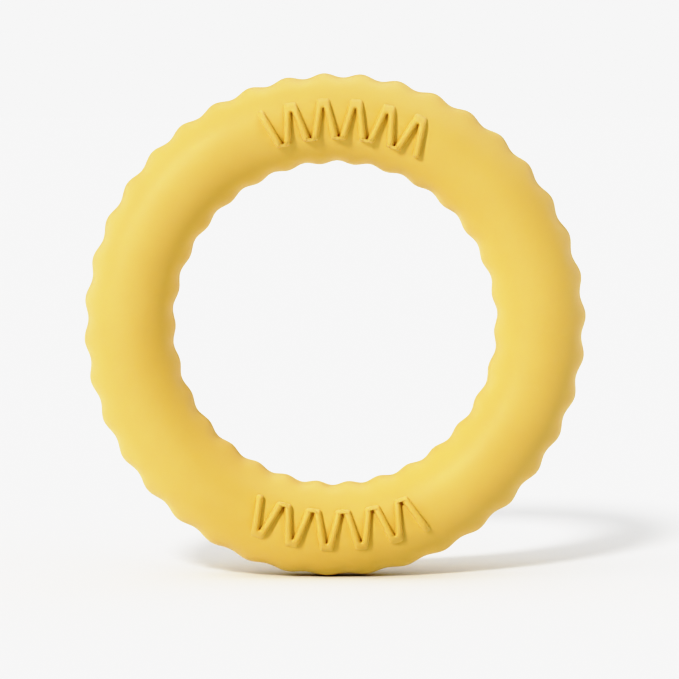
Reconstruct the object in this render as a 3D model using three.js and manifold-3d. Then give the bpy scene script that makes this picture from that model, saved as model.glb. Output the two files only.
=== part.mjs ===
// A soft juggling ring with a round section, a scalloped rim and raised zigzag grips.
//
// Millimetres, +Z up. The ring stands on its rim: its axis lies along Y, its front faces -Y,
// and the origin is the ring's centre. A clock angle runs clockwise from the top of the ring,
// seen from the front. An angle round the section starts at the outer rim.
//
// Two moulded skins meet on the plane y = 0 and close round two foam cores. A split hoop runs
// through the middle of the foam and keeps the ring round, and a sleeve joins the hoop's ends.
// Four zigzag grips are keyed into seats in the skins.

import Module from 'manifold-3d';
import * as THREE from 'three';
import { mergeVertices } from 'three/addons/utils/BufferGeometryUtils.js';

const { degToRad } = THREE.MathUtils;
const wasm = await Module();
wasm.setup();

// ---- driving dimensions ----

const RING_RADIUS = 81.7; // centre of the ring to the centre of its section
const SECTION_RADIUS = 17.5;
const GAP = 0.3; // clearance between pieces that touch

const SKIN_THICKNESS = 3;
const LAP_THICKNESS = 0.9; // the front skin's lip that reaches into the back skin
const LAP_REACH = 1.5;
const LAP_ROOT = 2;

// The rims are waved. Each wave has its count of lobes, half its height, and the place of its
// first lobe. The lobes are not evenly spaced: sway and bow shift them along the rim. At the foot,
// where the ring stands, the wave is lower by the share calm and the rim is fuller.
const OUTER_WAVE = { lobes: 39, height: 0.85, start: -6.5, sway: 1.55, bow: 0.9, calm: 0.35, fuller: 1 };
const INNER_WAVE = { lobes: 30, height: 0.66, start: 5.1, sway: -1.4, bow: 1.7, calm: 0, fuller: 0 };
const FOOT_REACH = 33; // degrees of clock angle to each side of the lowest point
const FOOT_FADE = 60; // degrees round the section over which the foot dies out
const RIM_SAG = 0.25; // both rims are this much thicker at the bottom and thinner at the top
const RIM_FADE = 45; // degrees round the section over which the waves and the sag die out

const HOOP_ROD_RADIUS = 2;
const HOOP_SPLIT = 0.6;
const SLEEVE_RADIUS = 3.2;
const SLEEVE_LENGTH = 24;

// Each zigzag has the clock angle of its middle, the clock angle from one of its corners to the
// next, and the radii that its corners reach.
const TOP_GRIP = { clock: 3.3, pitch: 4.24, inner: 73.5, outer: 89.9 };
const BOTTOM_GRIP = { clock: 179.9, pitch: 4.55, inner: 73, outer: 89.6 };
const GRIP_STROKES = 11;
const GRIP_WIDTH = 2.9;
const GRIP_HEIGHT = 2.3; // above the skin
const GRIP_KEY = 0.9; // below the skin
const GRIP_OUTER_CORNER = 1.2; // degrees between two strokes' centre lines where they meet
const GRIP_INNER_CORNER = 2.1;

// ---- how finely the round shapes are cut ----

const RING_STEPS = 52;
const SECTION_STEPS = 16;
const ROD_STEPS = 8;
const STEPS_PER_LOBE = 4;
const INVERSE_PASSES = 12; // each pass shrinks the error of clockOfTurn about fifteenfold

// ---- sizes that follow ----

const SKIN_INNER_RADIUS = SECTION_RADIUS - SKIN_THICKNESS;
const FOAM_RADIUS = SKIN_INNER_RADIUS - GAP;
const ROD_BORE_RADIUS = HOOP_ROD_RADIUS + GAP;
const REACH = 3 * (RING_RADIUS + SECTION_RADIUS); // well past the ring on every side

// ---- materials ----

const skinMaterial = new THREE.MeshStandardMaterial({ color: 0xe6c04e, roughness: 0.6 });
const gripMaterial = new THREE.MeshStandardMaterial({ color: 0xe4bb45, roughness: 0.55 });
const foamMaterial = new THREE.MeshStandardMaterial({ color: 0xd9d4c4, roughness: 0.95 });
const hoopMaterial = new THREE.MeshStandardMaterial({ color: 0xe8e6da, roughness: 0.45 });
const sleeveMaterial = new THREE.MeshStandardMaterial({
  color: 0xb9bcc0,
  roughness: 0.35,
  metalness: 1,
});

// ---- solids ----

function solidOf(geometry) {
  const bare = geometry.clone();
  bare.deleteAttribute('normal');
  bare.deleteAttribute('uv');
  const merged = mergeVertices(bare);
  return new wasm.Manifold(
    new wasm.Mesh({
      numProp: 3,
      vertProperties: new Float32Array(merged.attributes.position.array),
      triVerts: new Uint32Array(merged.index.array),
    }),
  );
}

function geometryOf(solid) {
  const { vertProperties, triVerts } = solid.getMesh();
  const geometry = new THREE.BufferGeometry();
  geometry.setAttribute('position', new THREE.BufferAttribute(vertProperties, 3));
  geometry.setIndex(new THREE.BufferAttribute(triVerts, 1));
  geometry.computeVertexNormals();
  return geometry;
}

function box(size, centre) {
  return solidOf(new THREE.BoxGeometry(...size).translate(...centre));
}

// A full round tube along the ring's centre circle.
function ringTube(radius, steps) {
  const torus = new THREE.TorusGeometry(RING_RADIUS, radius, steps, RING_STEPS);
  return solidOf(torus.rotateX(Math.PI / 2));
}

// A flat-sided band about the ring's axis.
function band(innerRadius, outerRadius, lowY, highY) {
  const corners = [
    new THREE.Vector2(innerRadius, lowY),
    new THREE.Vector2(outerRadius, lowY),
    new THREE.Vector2(outerRadius, highY),
    new THREE.Vector2(innerRadius, highY),
    new THREE.Vector2(innerRadius, lowY),
  ];
  return solidOf(new THREE.LatheGeometry(corners, RING_STEPS));
}

// All that lies on one side of the plane where the skins meet: -1 is the front, 1 the back.
function sideOfJoint(side) {
  const centreY = (side * (REACH + GAP)) / 2;
  return box([REACH, REACH, REACH], [0, centreY, 0]);
}

// ---- the waved rim ----

// How many turns of a wave have passed at a clock angle, in radians of the wave's spacing.
function waveTurn(wave, clock) {
  const shift = wave.sway * Math.sin(clock) + wave.bow * Math.sin(2 * clock);
  return clock + degToRad(wave.start + shift);
}

// The clock angle at which the wave has turned that far: waveTurn run backwards.
function clockOfTurn(wave, turn) {
  let clock = turn;
  for (let pass = 0; pass < INVERSE_PASSES; pass += 1) {
    clock += turn - waveTurn(wave, clock);
  }
  return clock;
}

// How much a clock angle belongs to the foot: 1 at the lowest point and 0 away from it.
function footShare(clock) {
  const fromLowest = THREE.MathUtils.radToDeg(clock) - 180;
  return Math.exp(-((fromLowest / FOOT_REACH) ** 4));
}

// How much of a rim's lift is left at an angle round the section: 1 at the rim and 0 at the fade.
function fading(degreesFromRim, fade) {
  const share = Math.min(degreesFromRim / fade, 1);
  return Math.cos(share * (Math.PI / 2)) ** 2;
}

// How far a rim's wave, its sag and its foot lift the surface.
function rimLift(wave, clock, degreesFromRim) {
  const foot = footShare(clock);
  const waved = wave.height * (1 - wave.calm * foot) * Math.cos(wave.lobes * waveTurn(wave, clock));
  const lift = fading(degreesFromRim, RIM_FADE) * (waved - RIM_SAG * Math.cos(clock));
  return lift + fading(degreesFromRim, FOOT_FADE) * wave.fuller * foot;
}

// A point of the ring's surface, before the grips.
function skinPoint(clock, around) {
  const degrees = Math.abs(THREE.MathUtils.radToDeg(around));
  const lift = rimLift(OUTER_WAVE, clock, degrees) + rimLift(INNER_WAVE, clock, 180 - degrees);
  const height = SECTION_RADIUS + lift;
  const fromAxis = RING_RADIUS + height * Math.cos(around);
  const y = -height * Math.sin(around);
  return [fromAxis * Math.sin(clock), y, fromAxis * Math.cos(clock)];
}

function wavedRing() {
  const stations = OUTER_WAVE.lobes * STEPS_PER_LOBE;
  const positions = [];
  const indices = [];
  for (let i = 0; i < stations; i += 1) {
    const clock = clockOfTurn(OUTER_WAVE, (i / stations) * 2 * Math.PI);
    for (let j = 0; j < SECTION_STEPS; j += 1) {
      const around = (j / SECTION_STEPS - 0.5) * 2 * Math.PI;
      positions.push(...skinPoint(clock, around));
      const a = i * SECTION_STEPS + j;
      const b = i * SECTION_STEPS + ((j + 1) % SECTION_STEPS);
      const c = ((i + 1) % stations) * SECTION_STEPS + ((j + 1) % SECTION_STEPS);
      const d = ((i + 1) % stations) * SECTION_STEPS + j;
      indices.push(a, b, c, a, c, d);
    }
  }
  const geometry = new THREE.BufferGeometry();
  geometry.setAttribute('position', new THREE.Float32BufferAttribute(positions, 3));
  geometry.setIndex(indices);
  return solidOf(geometry);
}

// ---- the zigzag grips ----

function ringPoint(radius, clock) {
  return new THREE.Vector2(radius * Math.sin(clock), radius * Math.cos(clock));
}

// One straight stroke between two points of the x-z plane, as a bar through the front of the
// ring. It runs past both points by its own width.
function strokeBar(from, to, width) {
  const along = to.clone().sub(from);
  const middle = from.clone().add(to).multiplyScalar(0.5);
  const length = along.length() + 2 * width;
  const bar = new THREE.BoxGeometry(width, REACH / 2, length);
  bar.rotateY(Math.atan2(along.x, along.y));
  return solidOf(bar.translate(middle.x, -REACH / 4, middle.y));
}

// The zigzag seen from the front, grown by a margin on every side, at the given depths.
function zigzag({ clock, pitch, inner, outer }, margin, lowRadius, highRadius) {
  const firstCorner = clock - (GRIP_STROKES / 2) * pitch;
  let strokes;
  for (let i = 0; i < GRIP_STROKES; i += 1) {
    const inwards = i % 2 === 0;
    const startTurn = (inwards ? GRIP_OUTER_CORNER : GRIP_INNER_CORNER) / 2;
    const endTurn = (inwards ? GRIP_INNER_CORNER : GRIP_OUTER_CORNER) / 2;
    const startClock = degToRad(firstCorner + i * pitch + startTurn);
    const endClock = degToRad(firstCorner + (i + 1) * pitch - endTurn);
    const start = ringPoint(inwards ? outer : inner, startClock);
    const end = ringPoint(inwards ? inner : outer, endClock);
    const bar = strokeBar(start, end, GRIP_WIDTH + 2 * margin);
    strokes = strokes ? strokes.add(bar) : bar;
  }
  const ends = band(inner - margin, outer + margin, -REACH, 0);
  const layer = ringTube(highRadius, SECTION_STEPS).subtract(ringTube(lowRadius, SECTION_STEPS));
  return strokes.intersect(ends).intersect(layer);
}

function gripSolid(layout) {
  return zigzag(layout, 0, SECTION_RADIUS - GRIP_KEY, SECTION_RADIUS + GRIP_HEIGHT);
}

function gripSeat(layout) {
  return zigzag(layout, GAP, SECTION_RADIUS - GRIP_KEY - GAP, SECTION_RADIUS + GRIP_HEIGHT);
}

// The back of the ring is its front turned half round the vertical.
function turned(solid) {
  return solidOf(geometryOf(solid).rotateZ(Math.PI));
}

// ---- the skins ----

// The bands beside the joint, at the outer and the inner rim, that the front skin's lip fills.
function lapBands(margin, lowY, highY) {
  const near = SKIN_INNER_RADIUS - margin;
  const far = SKIN_INNER_RADIUS + LAP_THICKNESS + margin;
  const outer = band(RING_RADIUS + near, RING_RADIUS + far, lowY, highY);
  const inner = band(RING_RADIUS - far, RING_RADIUS - near, lowY, highY);
  return outer.add(inner);
}

function frontSkin(hollowRing, seats) {
  const half = hollowRing.intersect(sideOfJoint(-1));
  return half.add(lapBands(0, -LAP_ROOT, LAP_REACH)).subtract(seats);
}

function backSkin(hollowRing, seats) {
  const half = hollowRing.intersect(sideOfJoint(1));
  return half.subtract(lapBands(GAP, -LAP_REACH, LAP_REACH + GAP)).subtract(seats);
}

// ---- the hoop, its sleeve and the foam ----

function hoop() {
  return ringTube(HOOP_ROD_RADIUS, ROD_STEPS).subtract(
    box([RING_RADIUS, SECTION_RADIUS, HOOP_SPLIT], [RING_RADIUS, 0, 0]),
  );
}

// The stretch of a tube that lies within a length at the ring's three o'clock.
function stretch(tube, length) {
  return tube.intersect(box([RING_RADIUS, SECTION_RADIUS, length], [RING_RADIUS, 0, 0]));
}

function hoopSleeve() {
  const wall = ringTube(SLEEVE_RADIUS, ROD_STEPS).subtract(ringTube(ROD_BORE_RADIUS, ROD_STEPS));
  return stretch(wall, SLEEVE_LENGTH);
}

function foamCore(side) {
  const pocket = stretch(ringTube(SLEEVE_RADIUS + GAP, ROD_STEPS), SLEEVE_LENGTH + 2 * GAP);
  return ringTube(FOAM_RADIUS, SECTION_STEPS)
    .intersect(sideOfJoint(side))
    .subtract(ringTube(ROD_BORE_RADIUS, ROD_STEPS))
    .subtract(pocket);
}

// ---- assembly ----

function piece(name, solid, material) {
  const mesh = new THREE.Mesh(geometryOf(solid), material);
  mesh.name = name;
  return mesh;
}

const hollowRing = wavedRing().subtract(ringTube(SKIN_INNER_RADIUS, SECTION_STEPS));
const seats = gripSeat(TOP_GRIP).add(gripSeat(BOTTOM_GRIP));
const topGrip = gripSolid(TOP_GRIP);
const bottomGrip = gripSolid(BOTTOM_GRIP);

const front = new THREE.Group();
front.add(
  piece('front_skin', frontSkin(hollowRing, seats), skinMaterial),
  piece('front_foam_core', foamCore(-1), foamMaterial),
  piece('front_top_grip', topGrip, gripMaterial),
  piece('front_bottom_grip', bottomGrip, gripMaterial),
);

const backGrips = new THREE.Group();
backGrips.add(
  piece('back_top_grip', topGrip, gripMaterial),
  piece('back_bottom_grip', bottomGrip, gripMaterial),
);
backGrips.rotation.z = Math.PI;

const back = new THREE.Group();
back.add(
  piece('back_skin', backSkin(hollowRing, turned(seats)), skinMaterial),
  piece('back_foam_core', foamCore(1), foamMaterial),
  backGrips,
);

const ring = new THREE.Group();
ring.add(
  front,
  back,
  piece('core_hoop', hoop(), hoopMaterial),
  piece('hoop_sleeve', hoopSleeve(), sleeveMaterial),
);

export default ring;
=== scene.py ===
"""A soft yellow juggling ring, standing on its rim on a pale studio floor.

Blender 4.5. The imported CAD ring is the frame: +Z up, the ring's axis along Y, its front facing -Y
and the origin at its centre. Shapes are worked out in millimetres and scaled to metres when a
mesh is made. A clock angle runs clockwise from the top of the ring, seen from the front. An angle
round the section starts at the outer rim and goes over the front or the back to the inner rim.
"""

import math

import bpy
import numpy as np
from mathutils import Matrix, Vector
from mathutils.geometry import delaunay_2d_cdt


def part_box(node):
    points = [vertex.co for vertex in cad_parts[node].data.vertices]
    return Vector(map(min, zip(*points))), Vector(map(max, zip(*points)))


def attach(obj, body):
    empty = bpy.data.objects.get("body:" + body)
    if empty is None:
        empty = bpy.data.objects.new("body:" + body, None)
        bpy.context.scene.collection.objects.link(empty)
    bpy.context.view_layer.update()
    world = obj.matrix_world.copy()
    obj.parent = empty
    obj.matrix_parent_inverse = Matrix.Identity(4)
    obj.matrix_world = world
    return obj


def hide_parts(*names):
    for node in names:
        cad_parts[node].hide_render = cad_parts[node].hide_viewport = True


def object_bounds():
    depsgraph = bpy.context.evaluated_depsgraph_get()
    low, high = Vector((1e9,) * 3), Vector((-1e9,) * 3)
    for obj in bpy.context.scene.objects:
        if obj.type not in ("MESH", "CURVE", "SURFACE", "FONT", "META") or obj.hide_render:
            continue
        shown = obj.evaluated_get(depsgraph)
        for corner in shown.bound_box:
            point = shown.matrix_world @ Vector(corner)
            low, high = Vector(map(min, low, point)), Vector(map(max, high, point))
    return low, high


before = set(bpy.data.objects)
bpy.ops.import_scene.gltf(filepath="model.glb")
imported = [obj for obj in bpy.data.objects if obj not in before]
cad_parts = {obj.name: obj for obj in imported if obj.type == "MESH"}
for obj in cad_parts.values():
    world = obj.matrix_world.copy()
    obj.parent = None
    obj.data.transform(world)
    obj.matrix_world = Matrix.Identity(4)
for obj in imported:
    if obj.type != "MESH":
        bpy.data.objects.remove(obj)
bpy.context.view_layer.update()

MM = 0.001
THREE_O_CLOCK = math.pi / 2  # the clock angle, in radians, of the hoop's split and its sleeve

# ---- sizes read from the frame, in millimetres ----


def node_box(node):
    low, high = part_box(node)
    return low / MM, high / MM


hoop_low, hoop_high = node_box("core_hoop")
sleeve_low, sleeve_high = node_box("hoop_sleeve")
foam_high = node_box("back_foam_core")[1]
skin_high = node_box("back_skin")[1]
front_skin_high = node_box("front_skin")[1]
grip_low, grip_high = node_box("front_top_grip")

HOOP_ROD_RADIUS = hoop_high.y
RING_RADIUS = hoop_high.z - HOOP_ROD_RADIUS
SECTION_RADIUS = skin_high.y
FOAM_RADIUS = foam_high.y
LAP_REACH = front_skin_high.y
SLEEVE_RADIUS = sleeve_high.y
SLEEVE_LENGTH = sleeve_high.z - sleeve_low.z
GRIP_HEIGHT = -grip_low.y - SECTION_RADIUS

# ---- sizes that repeat the CAD part's, in millimetres and degrees ----

GAP = 0.3
SKIN_INNER_RADIUS = FOAM_RADIUS + GAP
ROD_BORE_RADIUS = HOOP_ROD_RADIUS + GAP
POCKET_RADIUS = SLEEVE_RADIUS + GAP
LAP_THICKNESS = 0.9
HOOP_SPLIT = 0.6
# A rim's wave: how many lobes it has, half their rise, and where they start. Sway and bow make the
# spacing uneven. At the foot, calm is the share of the rise that is lost, fuller the added radius.
OUTER_WAVE = {"lobes": 39, "height": 0.85, "start": -6.5, "sway": 1.55, "bow": 0.9,
              "calm": 0.35, "fuller": 1.0}
INNER_WAVE = {"lobes": 30, "height": 0.66, "start": 5.1, "sway": -1.4, "bow": 1.7,
              "calm": 0.0, "fuller": 0.0}
WAVE_FADE = 45
RIM_SAG = 0.25
FOOT_AT = 180
FOOT_REACH = 33
FOOT_FADE = 60
FOOT_FLATNESS = 4  # the power that makes the foot even in the middle and short at its ends
TOP_GRIP = {"clock": 3.3, "pitch": 4.24, "inner": 73.5, "outer": 89.9}
BOTTOM_GRIP = {"clock": 179.9, "pitch": 4.55, "inner": 73.0, "outer": 89.6}
GRIP_STROKES = 11
GRIP_WIDTH = 2.9
GRIP_KEY = 0.9
GRIP_OUTER_CORNER = 1.2
GRIP_INNER_CORNER = 2.1

# ---- finer shape that only shows here, in millimetres ----

JOINT_HALF_GAP = 0.02
JOINT_ROWS = (JOINT_HALF_GAP, 0.06, 0.12, 0.2, 0.3, 0.42, 0.7)  # rows of points beside the joint
JOINT_EDGE_DEPTH = 0.25
JOINT_EDGE_WIDTH = 0.4
GRIP_SHOULDER = 1.3
GRIP_WALL = 0.3
GRIP_CORNER = 1.35
GRIP_NOTCH = 0.25
GRIP_END_FADE = 4.6
GRIP_END_DROP = 0.8  # share of a grip's height that its outer ends lose
SLEEVE_CRIMPS = (-9, -5, 5, 9)  # places along the sleeve, from its middle
SLEEVE_CRIMP_DEPTH = 0.25
SLEEVE_CRIMP_WIDTH = 0.7
SLEEVE_CHAMFER = 0.3
HOOP_END_ROUNDING = 0.6

# ---- how finely shapes are cut ----

LOBE_STEPS = 20
RIM_STATIONS = OUTER_WAVE["lobes"] * LOBE_STEPS
SECTION_STEP = 3.5
INNER_ARC_STEPS = 24
CORE_STATIONS = 360
ROD_SIDES = 32
CORNER_STEPS = 5
SHOULDER_STEPS = 8
GRIP_EDGE_STEP = 0.7
SLEEVE_STATIONS = 97
HOOP_END_STEPS = 6
POCKET_END_STEP = 0.0005  # the share of the pocket's half length that its end walls take up
INSIDE_ONLY = 1  # Blender's code for a triangulation that keeps only what is inside the outline
MERGE_BELOW = 1e-6  # points of an outline closer together than this are taken as one
SHARP_EDGE = 40  # degrees between two faces, above which their edge is shaded as sharp


# ---- meshes ----


def make_object(node, points, faces, material):
    """A piece from points in millimetres. It stands for one CAD node."""
    name = node + "_detailed"
    mesh = bpy.data.meshes.new(name)
    mesh.from_pydata((np.asarray(points) * MM).tolist(), [], faces)
    mesh.validate()
    mesh.update()
    mesh.shade_smooth()
    mesh.set_sharp_from_angle(angle=math.radians(SHARP_EDGE))
    mesh.materials.append(material)
    piece = bpy.data.objects.new(name, mesh)
    bpy.context.scene.collection.objects.link(piece)
    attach(piece, "root")
    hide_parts(node)
    return piece


def grid_faces(rows, columns, closed_rows):
    """Quads between rings of points that each close on themselves. The last ring may meet the first."""
    spans = rows if closed_rows else rows - 1
    i, j = np.meshgrid(np.arange(spans), np.arange(columns), indexing="ij")
    next_i, next_j = (i + 1) % rows, (j + 1) % columns
    corners = (i * columns + j, i * columns + next_j, next_i * columns + next_j, next_i * columns + j)
    return np.stack(corners, axis=-1).reshape(-1, 4)


def faces_out(points, quads):
    """The quads turned so that they enclose a positive volume."""
    a, b, c, d = (points[quads[:, k]] for k in range(4))
    volume = np.einsum("ij,ij->", a, np.cross(b, c)) + np.einsum("ij,ij->", a, np.cross(c, d))
    return quads if volume > 0 else quads[:, ::-1]


def swept_loop(rings):
    """Points and faces of a closed body: rings of points, the last joined to the first."""
    rows, columns, _ = rings.shape
    points = rings.reshape(-1, 3)
    quads = faces_out(points, grid_faces(rows, columns, True))
    return points, quads.tolist()


def swept_bar(rings):
    """Points and faces of a body with two flat ends."""
    rows, columns, _ = rings.shape
    points = rings.reshape(-1, 3)
    quads = grid_faces(rows, columns, False)
    turned = faces_out(points, quads)
    first = list(range(columns))
    last = [(rows - 1) * columns + k for k in range(columns)]
    flipped = turned is not quads
    ends = [first, last[::-1]] if flipped else [first[::-1], last]
    return points, turned.tolist() + ends


def about_axis(clock, from_axis, y):
    """Points of the ring from clock angles, distances from the ring's axis, and y."""
    return np.stack([from_axis * np.sin(clock), y + 0 * clock, from_axis * np.cos(clock)], axis=-1)


# ---- the waved rims ----


def fading(degrees_from_rim, fade):
    """How much of a rim's lift is left at an angle round the section: 1 at the rim, 0 past the fade."""
    return np.cos(np.clip(degrees_from_rim / fade, 0, 1) * math.pi / 2) ** 2


def rim_lift(wave, clock, degrees_from_rim):
    """How far a rim's wave, its sag and its foot lift the skin, as in part.mjs."""
    shift = wave["sway"] * np.sin(clock) + wave["bow"] * np.sin(2 * clock)
    turn = clock + np.radians(wave["start"] + shift)
    foot = np.exp(-(((np.degrees(clock) - FOOT_AT) / FOOT_REACH) ** FOOT_FLATNESS))
    waved = wave["height"] * (1 - wave["calm"] * foot) * np.cos(wave["lobes"] * turn)
    lift = fading(degrees_from_rim, WAVE_FADE) * (waved - RIM_SAG * np.cos(clock))
    return lift + fading(degrees_from_rim, FOOT_FADE) * wave["fuller"] * foot


def skin_lift(clock, around):
    degrees = np.degrees(around)
    outer = rim_lift(OUTER_WAVE, clock, degrees)
    inner = rim_lift(INNER_WAVE, clock, 180 - degrees)
    return outer + inner


# ---- the skins ----


def skin_arc_angles():
    """Angles round one skin's outer face, closer together at its two rounded edges."""
    edge = np.arcsin(np.array(JOINT_ROWS) / SECTION_RADIUS)
    middle = np.radians(np.arange(SECTION_STEP, 180, SECTION_STEP))
    return np.concatenate([edge, middle[middle < math.pi - edge[-1]], math.pi - edge[::-1]])


def joint_edge_inset(around):
    """How far the skin's face falls away beside the joint."""
    from_joint = SECTION_RADIUS * np.sin(around)
    inside = np.clip(1 - from_joint / JOINT_EDGE_WIDTH, 0, 1)
    return JOINT_EDGE_DEPTH * inside**2


def inner_profile(is_front):
    """A skin's lips and hollow, as (out from the section's centre, in from the joint)."""
    near, far = SKIN_INNER_RADIUS, SKIN_INNER_RADIUS + LAP_THICKNESS
    if is_front:
        step, start = -LAP_REACH, 0
        lip = [(far, JOINT_HALF_GAP), (far, step), (near, step)]
    else:
        far, step = far + GAP, LAP_REACH + GAP
        start = math.asin(step / near)
        lip = [(far, JOINT_HALF_GAP), (far, step)]
    arc = np.linspace(start, math.pi - start, INNER_ARC_STEPS + 1)[::-1]
    hollow = [(near * math.cos(a), near * math.sin(a)) for a in arc]
    mirrored = [(-out, inwards) for out, inwards in lip]
    return np.array(mirrored + hollow + lip[::-1])


def skin(node, is_front, material):
    """Half of the ring's skin: a waved outer face, two lips and a round hollow."""
    clock = np.linspace(0, 2 * math.pi, RIM_STATIONS, endpoint=False)[:, None]
    around = skin_arc_angles()[None, :]
    height = SECTION_RADIUS + skin_lift(clock, around) - joint_edge_inset(around)
    side = -1 if is_front else 1
    face = about_axis(clock, RING_RADIUS + height * np.cos(around), side * height * np.sin(around))
    inside = inner_profile(is_front)
    back = about_axis(clock, RING_RADIUS + inside[None, :, 0], side * inside[None, :, 1])
    points, faces = swept_loop(np.concatenate([face, back], axis=1))
    return make_object(node, points, faces, material)


# ---- the zigzag grips ----


def ring_point(radius, degrees):
    clock = math.radians(degrees)
    return np.array([radius * math.sin(clock), radius * math.cos(clock)])


def grip_strokes(layout):
    """The strokes' centre lines, as (start, direction, side), side pointing clockwise."""
    pitch = layout["pitch"]
    first = layout["clock"] - GRIP_STROKES / 2 * pitch
    corners = ((layout["outer"], GRIP_OUTER_CORNER / 2), (layout["inner"], GRIP_INNER_CORNER / 2))
    strokes = []
    for i in range(GRIP_STROKES):
        (start_radius, start_turn), (end_radius, end_turn) = corners if i % 2 == 0 else corners[::-1]
        start = ring_point(start_radius, first + i * pitch + start_turn)
        end = ring_point(end_radius, first + (i + 1) * pitch - end_turn)
        along = (end - start) / np.linalg.norm(end - start)
        clockwise = np.array([along[1], -along[0]]) * (-1 if i % 2 == 0 else 1)
        strokes.append((start, along, clockwise))
    return strokes


def stroke_edge(stroke, side):
    """One straight edge of a stroke, as (point, direction)."""
    start, along, clockwise = stroke
    return start + side * clockwise * GRIP_WIDTH / 2, along


def edge_at_radius(edge, radius):
    """Where a stroke's edge crosses a circle about the ring's axis, on the stroke's own side."""
    point, along = edge
    middle = point @ along
    reach = math.sqrt(middle**2 - point @ point + radius**2)
    return min((point + along * (-middle + sign * reach) for sign in (-1, 1)),
               key=lambda p: np.linalg.norm(p - point))


def edges_cross(first, second):
    (p, a), (q, b) = first, second
    along_first = np.linalg.solve(np.array([a, -b]).T, q - p)[0]
    return p + a * along_first


def grip_outline(layout):
    """Corners of the zigzag seen from the front, clockwise round its outline."""
    strokes = grip_strokes(layout)
    outer, inner = [], []
    for i, stroke in enumerate(strokes):
        early, late = stroke_edge(stroke, -1), stroke_edge(stroke, 1)
        starts, ends = (outer, inner) if i % 2 == 0 else (inner, outer)
        start_radius, end_radius = layout["outer"], layout["inner"]
        if i % 2:
            start_radius, end_radius = end_radius, start_radius
        if i == 0:
            starts.append(edge_at_radius(early, start_radius))
        starts.append(edge_at_radius(late, start_radius))
        ends.append(edge_at_radius(early, end_radius))
        if i + 1 < GRIP_STROKES:
            starts.append(edges_cross(late, stroke_edge(strokes[i + 1], -1)))
        else:
            ends.append(edge_at_radius(late, end_radius))
    return np.array(outer + inner[::-1])


def rounded(corners, inset):
    """The outline with rounded corners, moved in by inset: as many points at every inset."""
    count = len(corners)
    points = []
    for i in range(count):
        before, corner, after = corners[i - 1], corners[i], corners[(i + 1) % count]
        arrive = (corner - before) / np.linalg.norm(corner - before)
        leave = (after - corner) / np.linalg.norm(after - corner)
        out_a, out_b = np.array([-arrive[1], arrive[0]]), np.array([-leave[1], leave[0]])
        convex = arrive[0] * leave[1] - arrive[1] * leave[0] < 0
        radius = GRIP_CORNER if convex else -GRIP_NOTCH
        centre = corner - (out_a + out_b) / (1 + out_a @ out_b) * radius
        turn = math.acos(max(-1.0, min(1.0, float(out_a @ out_b)))) * (-1 if convex else 1)
        for step in range(CORNER_STEPS + 1):
            angle = turn * step / CORNER_STEPS
            cos, sin = math.cos(angle), math.sin(angle)
            out = np.array([cos * out_a[0] - sin * out_a[1], sin * out_a[0] + cos * out_a[1]])
            points.append(centre + out * (radius - inset))
    return np.array(points)


def straight_splits(outline):
    """How many steps to cut each side of an outline into."""
    lengths = np.linalg.norm(np.roll(outline, -1, axis=0) - outline, axis=1)
    return np.maximum(1, np.ceil(lengths / GRIP_EDGE_STEP)).astype(int)


def split(outline, splits):
    points = []
    for start, end, count in zip(outline, np.roll(outline, -1, axis=0), splits):
        points.extend(start + (end - start) * k / count for k in range(count))
    return np.array(points)


def on_section(plan, height):
    """Points seen from the front, set on the round section at a height above the skin."""
    from_centre = np.linalg.norm(plan, axis=1) - RING_RADIUS
    y = -np.sqrt((SECTION_RADIUS + height) ** 2 - from_centre**2)
    return np.stack([plan[:, 0], y, plan[:, 1]], axis=1)


def raised(plan, height, outer):
    """A grip's height at each point. It sinks towards the zigzag's outer ends."""
    from_end = outer - np.linalg.norm(plan, axis=1)
    near_end = np.clip(1 - from_end / GRIP_END_FADE, 0, 1)
    return height * (1 - GRIP_END_DROP * near_end**2)


def grip_rings():
    """(inset, height) of each outline of a grip, from its root up over its rounded shoulder."""
    rings = [(0, -GRIP_KEY), (0, 0)]
    for step in range(SHOULDER_STEPS + 1):
        turn = math.pi / 2 * step / SHOULDER_STEPS
        inset = GRIP_SHOULDER * (1 - math.cos(turn))
        rings.append((inset, GRIP_WALL + (GRIP_HEIGHT - GRIP_WALL) * math.sin(turn)))
    return rings


def flat_fill(outline):
    """Triangles that fill an outline."""
    count = len(outline)
    corners = [Vector(p) for p in outline.tolist()]
    sides = [(k, (k + 1) % count) for k in range(count)]
    triangles = delaunay_2d_cdt(corners, sides, [list(range(count))], INSIDE_ONLY, MERGE_BELOW)[2]
    return np.array(triangles)


def grip(node, layout, is_front, material):
    corners = grip_outline(layout)
    splits = straight_splits(rounded(corners, 0))
    plans = [split(rounded(corners, inset), splits) for inset, _ in grip_rings()]
    rings = np.array([on_section(plan, raised(plan, height, layout["outer"]))
                      for plan, (_, height) in zip(plans, grip_rings())])
    rows, columns, _ = rings.shape
    points = rings.reshape(-1, 3)
    walls = grid_faces(rows, columns, False)[:, ::-1]
    top = flat_fill(plans[-1]) + (rows - 1) * columns
    root = flat_fill(plans[0])[:, ::-1]
    if not is_front:
        points = points * (-1, -1, 1)
    faces = walls.tolist() + top.tolist() + root.tolist()
    return make_object(node, points, faces, material)


# ---- foam, hoop and sleeve ----


def tube_circle(clock, radius):
    """Rings of a tube along the ring's centre circle; clock and radius are one per ring."""
    around = np.linspace(0, 2 * math.pi, ROD_SIDES, endpoint=False)[None, :]
    clock, radius = clock[:, None], radius[:, None]
    return about_axis(clock, RING_RADIUS + radius * np.cos(around), radius * np.sin(around))


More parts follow.
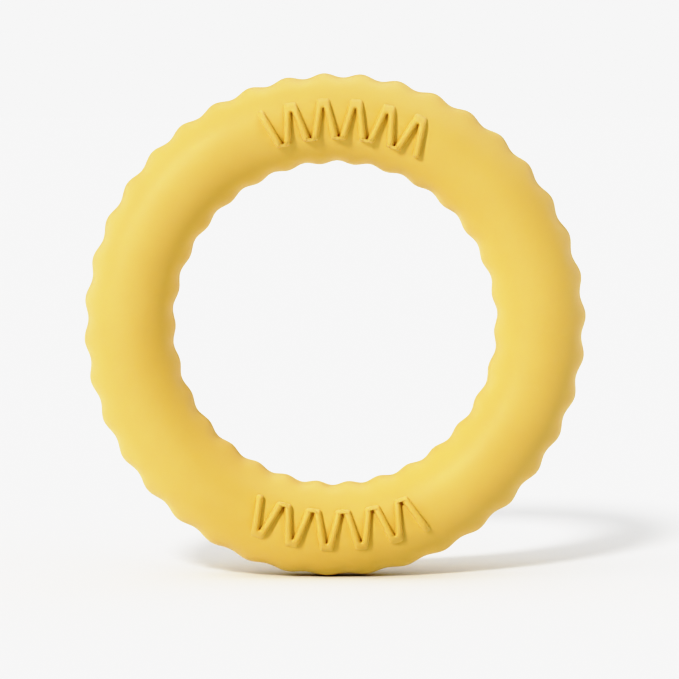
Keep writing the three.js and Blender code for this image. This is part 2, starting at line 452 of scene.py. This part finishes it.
def foam_core(node, is_front, material):
    """Half of the foam, with a channel for the hoop that widens to a pocket for the sleeve."""
    half_pocket = (SLEEVE_LENGTH / 2 + GAP) / RING_RADIUS
    beyond = 1 + POCKET_END_STEP
    ends = THREE_O_CLOCK + half_pocket * np.array([-beyond, -1, 1, beyond])
    clock = np.sort(np.concatenate([np.linspace(0, 2 * math.pi, CORE_STATIONS, endpoint=False), ends]))
    in_pocket = np.abs(clock - THREE_O_CLOCK) <= half_pocket * (1 + POCKET_END_STEP / 2)
    channel = np.where(in_pocket, POCKET_RADIUS, ROD_BORE_RADIUS)[:, None]
    low = math.asin(GAP / 2 / FOAM_RADIUS)
    arc = np.linspace(low, math.pi - low, INNER_ARC_STEPS * 2)[None, :]
    groove_low = np.arcsin(GAP / 2 / channel)
    share = np.linspace(0, 1, INNER_ARC_STEPS)[None, :]
    groove = math.pi - groove_low - share * (math.pi - 2 * groove_low)
    side = -1 if is_front else 1
    clock = clock[:, None]
    face = about_axis(clock, RING_RADIUS + FOAM_RADIUS * np.cos(arc), side * FOAM_RADIUS * np.sin(arc))
    bore = about_axis(clock, RING_RADIUS + channel * np.cos(groove), side * channel * np.sin(groove))
    points, faces = swept_loop(np.concatenate([face, bore], axis=1))
    piece = make_object(node, points, faces, material)
    return piece


def core_hoop(material):
    """The bent rod, split at three o'clock, with rounded ends."""
    half_split = HOOP_SPLIT / 2 / RING_RADIUS
    start = THREE_O_CLOCK + half_split
    end = THREE_O_CLOCK + 2 * math.pi - half_split
    rounding = HOOP_END_ROUNDING / RING_RADIUS
    turn = np.linspace(0, math.pi / 2, HOOP_END_STEPS)[:-1]
    lead = rounding * (1 - np.cos(turn))
    grown = HOOP_ROD_RADIUS - HOOP_END_ROUNDING * (1 - np.sin(turn))
    clock = np.concatenate([start + lead, np.linspace(start + rounding, end - rounding, CORE_STATIONS),
                            end - lead[::-1]])
    radius = np.concatenate([grown, np.full(CORE_STATIONS, HOOP_ROD_RADIUS), grown[::-1]])
    points, faces = swept_bar(tube_circle(clock, radius))
    return make_object("core_hoop", points, faces, material)


def hoop_sleeve(material):
    """A drawn tube with chamfered ends and two crimped grooves on each side of the split."""
    along = np.linspace(-SLEEVE_LENGTH / 2, SLEEVE_LENGTH / 2, SLEEVE_STATIONS)
    radius = np.full(along.shape, float(SLEEVE_RADIUS))
    for crimp in SLEEVE_CRIMPS:
        radius -= SLEEVE_CRIMP_DEPTH * np.exp(-(((along - crimp) / SLEEVE_CRIMP_WIDTH) ** 2))
    from_end = SLEEVE_LENGTH / 2 - np.abs(along)
    radius -= np.clip(SLEEVE_CHAMFER - from_end, 0, None)
    clock = THREE_O_CLOCK + along / RING_RADIUS
    outside = tube_circle(clock, radius)
    bore = tube_circle(clock[::-1], np.full(along.shape, ROD_BORE_RADIUS))
    points, faces = swept_loop(np.concatenate([outside, bore], axis=0))
    return make_object("hoop_sleeve", points, faces, material)


# ---- materials ----

# The two tones that each material's pattern runs between.
SKIN_TONES = ((0.735, 0.515, 0.155), (0.765, 0.545, 0.17))
GRIP_TONES = ((0.735, 0.51, 0.15), (0.765, 0.54, 0.165))
# For the foam, the darker tone is painted shade in the cells' hollows.
FOAM_AND_PIT_SHADE_TONES = ((0.5, 0.45, 0.33), (0.78, 0.74, 0.62))
GLASS_FIBRE_TONES = ((0.62, 0.58, 0.44), (0.8, 0.78, 0.66))
ALUMINIUM_TONES = ((0.7, 0.71, 0.73), (0.84, 0.85, 0.87))


class Nodes:
    """A material's node tree, with short calls to add and join nodes."""

    def __init__(self, name):
        self.material = bpy.data.materials.new(name)
        self.material.use_nodes = True
        self.tree = self.material.node_tree
        self.shader = self.tree.nodes["Principled BSDF"]
        self.place = self.add("ShaderNodeTexCoord").outputs["Object"]

    def add(self, kind, **values):
        node = self.tree.nodes.new(kind)
        for key, value in values.items():
            if key in node.inputs:
                node.inputs[key].default_value = value
            else:
                setattr(node, key, value)
        return node

    def join(self, source, target):
        self.tree.links.new(source, target)

    def noise(self, per_metre, detail):
        node = self.add("ShaderNodeTexNoise", Scale=per_metre, Detail=detail)
        self.join(self.place, node.inputs["Vector"])
        return node.outputs["Fac"]

    def ramp(self, source, between, onto=(0, 1)):
        node = self.add("ShaderNodeMapRange")
        node.inputs["From Min"].default_value, node.inputs["From Max"].default_value = between
        node.inputs["To Min"].default_value, node.inputs["To Max"].default_value = onto
        self.join(source, node.inputs["Value"])
        return node.outputs["Result"]

    def blend(self, share, tones):
        node = self.add("ShaderNodeMixRGB")
        for socket, tone in zip(("Color1", "Color2"), tones):
            node.inputs[socket].default_value = (*tone, 1)
        self.join(share, node.inputs["Fac"])
        return node.outputs["Color"]

    def bump(self, height, distance, strength, under=None):
        node = self.add("ShaderNodeBump", Distance=distance, Strength=strength)
        self.join(height, node.inputs["Height"])
        if under is not None:
            self.join(under, node.inputs["Normal"])
        return node.outputs["Normal"]

    def set(self, **values):
        """Sets the shader's own sockets. An output is joined, and a number is set on the socket."""
        for key, value in values.items():
            socket = self.shader.inputs[key.replace("_", " ")]
            if isinstance(value, bpy.types.NodeSocket):
                self.join(value, socket)
            else:
                socket.default_value = value


def moulded_elastomer(name, tones):
    """Matte moulded elastomer: slightly uneven colour, a spark-eroded grain and faint flow waves."""
    nodes = Nodes(name)
    cloud = nodes.noise(per_metre=28, detail=4)
    nodes.set(Base_Color=nodes.blend(nodes.ramp(cloud, between=(0.3, 0.7)), tones))
    patches = nodes.noise(per_metre=900, detail=2)
    nodes.set(Roughness=nodes.ramp(patches, between=(0.3, 0.7), onto=(0.5, 0.62)))
    waves = nodes.bump(nodes.noise(per_metre=120, detail=1), distance=0.00012, strength=0.25)
    grain = nodes.noise(per_metre=2600, detail=3)
    nodes.set(Normal=nodes.bump(grain, distance=0.00004, strength=0.35, under=waves))
    nodes.set(Subsurface_Weight=0.12, Subsurface_Scale=0.002, Subsurface_Radius=(1.0, 0.55, 0.15))
    nodes.set(IOR=1.45, Specular_IOR_Level=0.5, Sheen_Weight=0.13, Sheen_Roughness=0.5)
    return nodes.material


def open_foam(name, tones):
    """Cream foam: small cells in two sizes, their sunken centres painted darker as painted shade."""
    nodes = Nodes(name)
    cells = nodes.add("ShaderNodeTexVoronoi", Scale=900.0)
    nodes.join(nodes.place, cells.inputs["Vector"])
    # The cells' sunken centres take the darker tone, which is painted shade in the pits. The same value
    # sinks them in the bump.
    pit_depth_and_shade = nodes.ramp(cells.outputs["Distance"], between=(0.1, 0.6))
    nodes.set(Base_Color=nodes.blend(pit_depth_and_shade, tones), Roughness=0.95, Specular_IOR_Level=0.1)
    coarse = nodes.bump(nodes.noise(per_metre=500, detail=4), distance=0.0003, strength=0.5)
    nodes.set(Normal=nodes.bump(pit_depth_and_shade, distance=0.0004, strength=0.8, under=coarse))
    return nodes.material


def drawn_rod(name, tones, roughness, metallic):
    """A drawn or pultruded rod: fine streaks that run along the ring."""
    nodes = Nodes(name)
    split = nodes.add("ShaderNodeSeparateXYZ")
    nodes.join(nodes.place, split.inputs["Vector"])
    squares = []
    for axis in "XZ":
        square = nodes.add("ShaderNodeMath", operation="MULTIPLY")
        nodes.join(split.outputs[axis], square.inputs[0])
        nodes.join(split.outputs[axis], square.inputs[1])
        squares.append(square.outputs[0])
    total = nodes.add("ShaderNodeMath", operation="ADD")
    nodes.join(squares[0], total.inputs[0])
    nodes.join(squares[1], total.inputs[1])
    from_axis = nodes.add("ShaderNodeMath", operation="SQRT")
    nodes.join(total.outputs[0], from_axis.inputs[0])
    across = nodes.add("ShaderNodeCombineXYZ")
    nodes.join(from_axis.outputs[0], across.inputs["X"])
    nodes.join(split.outputs["Y"], across.inputs["Y"])
    streaks = nodes.add("ShaderNodeTexNoise", Scale=6000.0, Detail=2.0)
    nodes.join(across.outputs["Vector"], streaks.inputs["Vector"])
    share = nodes.ramp(streaks.outputs["Fac"], between=(0.35, 0.65))
    nodes.set(Base_Color=nodes.blend(share, tones), Metallic=metallic)
    patches = nodes.noise(per_metre=700, detail=2)
    nodes.set(Roughness=nodes.ramp(patches, between=(0.3, 0.7), onto=roughness))
    nodes.set(Normal=nodes.bump(streaks.outputs["Fac"], distance=0.00003, strength=0.4))
    return nodes.material


def studio_floor(name, albedo):
    nodes = Nodes(name)
    nodes.set(Base_Color=(albedo, albedo, albedo, 1), Roughness=0.9, Specular_IOR_Level=0.0)
    return nodes.material


# ---- the studio ----

BACKDROP = 1.034  # how bright the backdrop is; the lamps bring the bare floor to the same level
FLOOR_ALBEDO = 0.85
FLOOR_HALF_WIDTH = 30.0

# Distant lamps: (azimuth, elevation, strength, spread). Azimuth 0 is the camera's side of the
# ring and 90 is its right side, in degrees.
RING_LAMPS = {
    "ring_key": (-40, 30, 2.35, 8),
    "ring_right_fill": (60, 60, 1.28, 40),
    "ring_left_rim": (-120, 10, 0.94, 40),
    "ring_right_rim": (120, 10, 0.88, 40),
    "ring_top_rim": (180, 60, 1.1, 40),
}
FLOOR_LAMPS = {
    "floor_key": (-18, 35, 1.86, 9),
    "floor_dome": (0, 90, 2.48, 150),
    "floor_left": (-60, 40, 0.5, 60),
}

# The camera's response, as (light in the scene, light shown): it deepens the low tones and
# rolls off below white.
RESPONSE = ((0.08, 0.012), (0.14, 0.05), (0.22, 0.15), (0.48, 0.45), (0.80, 0.81), (1.03, 0.92))
RESPONSE_END = (1.5, 0.99)
RESPONSE_LIMIT = 2
ALL_CHANNELS = 3  # the index of the curve that acts on red, green and blue alike

CAMERA_DISTANCE = 1.6
CAMERA_RISE = 0.0916
CAMERA_AIM = Vector((0.0018, 0.0, -0.0063))
CAMERA_LENS = 213
CAMERA_SENSOR = 36
CAMERA_FARTHEST = 100


def floor(height):
    half = FLOOR_HALF_WIDTH
    corners = [(x, y, height) for x, y in ((-half, -half), (half, -half), (half, half), (-half, half))]
    mesh = bpy.data.meshes.new("studio_floor")
    mesh.from_pydata(corners, [], [(0, 1, 2, 3)])
    mesh.materials.append(studio_floor("studio_floor", FLOOR_ALBEDO))
    plane = bpy.data.objects.new("studio_floor", mesh)
    bpy.context.scene.collection.objects.link(plane)
    return plane


def sun(name, lamp, receivers):
    """A distant lamp that lights only the objects of the collection receivers."""
    azimuth, elevation, strength, spread = lamp
    turn, rise = math.radians(azimuth), math.radians(elevation)
    level = math.cos(rise)
    towards = Vector((math.sin(turn) * level, -math.cos(turn) * level, math.sin(rise)))
    light = bpy.data.lights.new(name, "SUN")
    light.energy = strength
    light.angle = math.radians(spread)
    holder = bpy.data.objects.new(name, light)
    holder.rotation_euler = towards.to_track_quat("Z", "Y").to_euler()
    holder.light_linking.receiver_collection = receivers
    bpy.context.scene.collection.objects.link(holder)


def gathered(name, objects):
    """A collection of objects, for lamps that light only them."""
    collection = bpy.data.collections.new(name)
    for item in objects:
        collection.objects.link(item)
    return collection


def lamps(pieces, ground):
    ring_only = gathered("ring_only", pieces)
    for name, lamp in RING_LAMPS.items():
        sun(name, lamp, ring_only)
    floor_only = gathered("floor_only", [ground])
    for name, lamp in FLOOR_LAMPS.items():
        sun(name, lamp, floor_only)


def backdrop():
    """An even pale backdrop that lights nothing: only the camera sees it."""
    world = bpy.data.worlds.new("studio")
    world.use_nodes = True
    tree = world.node_tree
    seen = tree.nodes["Background"]
    seen.inputs["Color"].default_value = (1, 1, 1, 1)
    seen.inputs["Strength"].default_value = BACKDROP
    unlit = tree.nodes.new("ShaderNodeBackground")
    unlit.inputs["Strength"].default_value = 0
    path = tree.nodes.new("ShaderNodeLightPath")
    mix = tree.nodes.new("ShaderNodeMixShader")
    tree.links.new(path.outputs["Is Camera Ray"], mix.inputs["Fac"])
    tree.links.new(unlit.outputs[0], mix.inputs[1])
    tree.links.new(seen.outputs[0], mix.inputs[2])
    tree.links.new(mix.outputs[0], tree.nodes["World Output"].inputs["Surface"])
    bpy.context.scene.world = world


def camera_response():
    settings = bpy.context.scene.view_settings
    settings.view_transform = "Standard"
    settings.use_curve_mapping = True
    mapping = settings.curve_mapping
    mapping.use_clip = False
    mapping.clip_max_x, mapping.clip_max_y = RESPONSE_LIMIT, RESPONSE_LIMIT
    curve = mapping.curves[ALL_CHANNELS]
    curve.points[-1].location = RESPONSE_END
    for light, shown in RESPONSE:
        curve.points.new(light, shown)
    mapping.update()


def camera():
    data = bpy.data.cameras.new("camera")
    data.sensor_width = CAMERA_SENSOR
    data.lens = CAMERA_LENS
    data.clip_end = CAMERA_FARTHEST
    holder = bpy.data.objects.new("camera", data)
    holder.location = (CAMERA_AIM.x, -CAMERA_DISTANCE, CAMERA_RISE)
    holder.rotation_euler = (holder.location - CAMERA_AIM).to_track_quat("Z", "Y").to_euler()
    bpy.context.scene.collection.objects.link(holder)
    bpy.context.scene.camera = holder


# ---- the scene ----

camera()
skin_material = moulded_elastomer("skin_elastomer", SKIN_TONES)
grip_material = moulded_elastomer("grip_elastomer", GRIP_TONES)
foam_material = open_foam("core_foam", FOAM_AND_PIT_SHADE_TONES)
rod_material = drawn_rod("glass_fibre_rod", GLASS_FIBRE_TONES, roughness=(0.4, 0.52), metallic=0)
tube_material = drawn_rod("drawn_aluminium", ALUMINIUM_TONES, roughness=(0.28, 0.4), metallic=1)

pieces = [
    skin("front_skin", True, skin_material),
    skin("back_skin", False, skin_material),
    grip("front_top_grip", TOP_GRIP, True, grip_material),
    grip("front_bottom_grip", BOTTOM_GRIP, True, grip_material),
    grip("back_top_grip", TOP_GRIP, False, grip_material),
    grip("back_bottom_grip", BOTTOM_GRIP, False, grip_material),
    foam_core("front_foam_core", True, foam_material),
    foam_core("back_foam_core", False, foam_material),
    core_hoop(rod_material),
    hoop_sleeve(tube_material),
]

visual_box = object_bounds()
ground = floor(visual_box[0].z)
lamps(pieces, ground)
backdrop()
camera_response()
